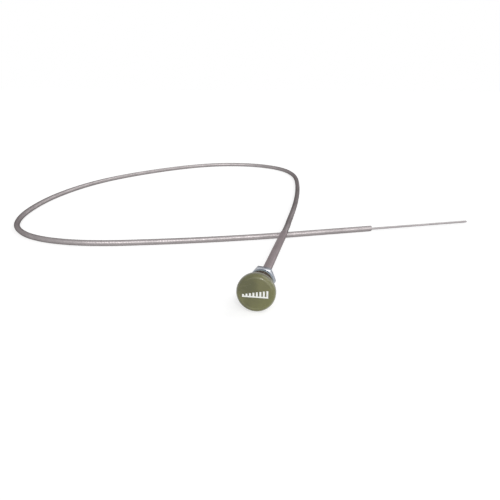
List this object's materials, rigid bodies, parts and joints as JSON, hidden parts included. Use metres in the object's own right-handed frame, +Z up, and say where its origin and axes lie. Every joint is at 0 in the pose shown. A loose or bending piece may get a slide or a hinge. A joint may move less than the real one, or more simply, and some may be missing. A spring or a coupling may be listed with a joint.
{
  "type": "throttle cable",
  "caption": "Push-pull throttle control: round knob on a sliding rod in a panel bushing, steel barrel, and a long wound steel conduit carrying a bare control wire.",
  "frame": {"origin": "on the table, under the middle of the knob, bushing and barrel taken together", "axes": "+Z up from the table it lies on, +Y from the knob towards the barrel's rear end in plan, +X to the right seen from the knob's face"},
  "size_m": [0.4672, 0.5489, 0.0254],
  "materials": {
    "knob": "glossy moulded olive plastic",
    "knob_mark": "white filled mark",
    "knob_insert": "turned",
    "pull_rod": "drawn",
    "control_wire": "drawn wire",
    "bushing": "zinc plated",
    "lock_washer": "spring steel",
    "mounting_nut": "bright zinc plated",
    "barrel": "satin drawn tube",
    "conduit": "close-wound wire"
  },
  "bodies": {
    "casing": {"bushing": "bushing", "lock_washer": "lock_washer", "mounting_nut": "mounting_nut", "barrel": "barrel", "conduit": "conduit", "control_wire_run": "control_wire"},
    "pull": {"knob": "knob", "knob_mark": "knob_mark", "knob_insert": "knob_insert", "pull_rod": "pull_rod", "control_wire_front": "control_wire"},
    "wire_end": {"control_wire_end": "control_wire"}
  },
  "joints": [
    {"name": "throttle_pull", "type": "slide", "parent": "casing", "child": "pull", "axis": [0, -0.9996, 0.0284], "range_m": [0, 0.05]},
    {"name": "wire_end_travel", "type": "slide", "parent": "casing", "child": "wire_end", "axis": [-0.9063, -0.4226, 0], "range_m": [0, 0.05]}
  ],
  "couplings": [
    {"joint": "wire_end_travel", "follows": "throttle_pull", "ratio": 1}
  ]
}
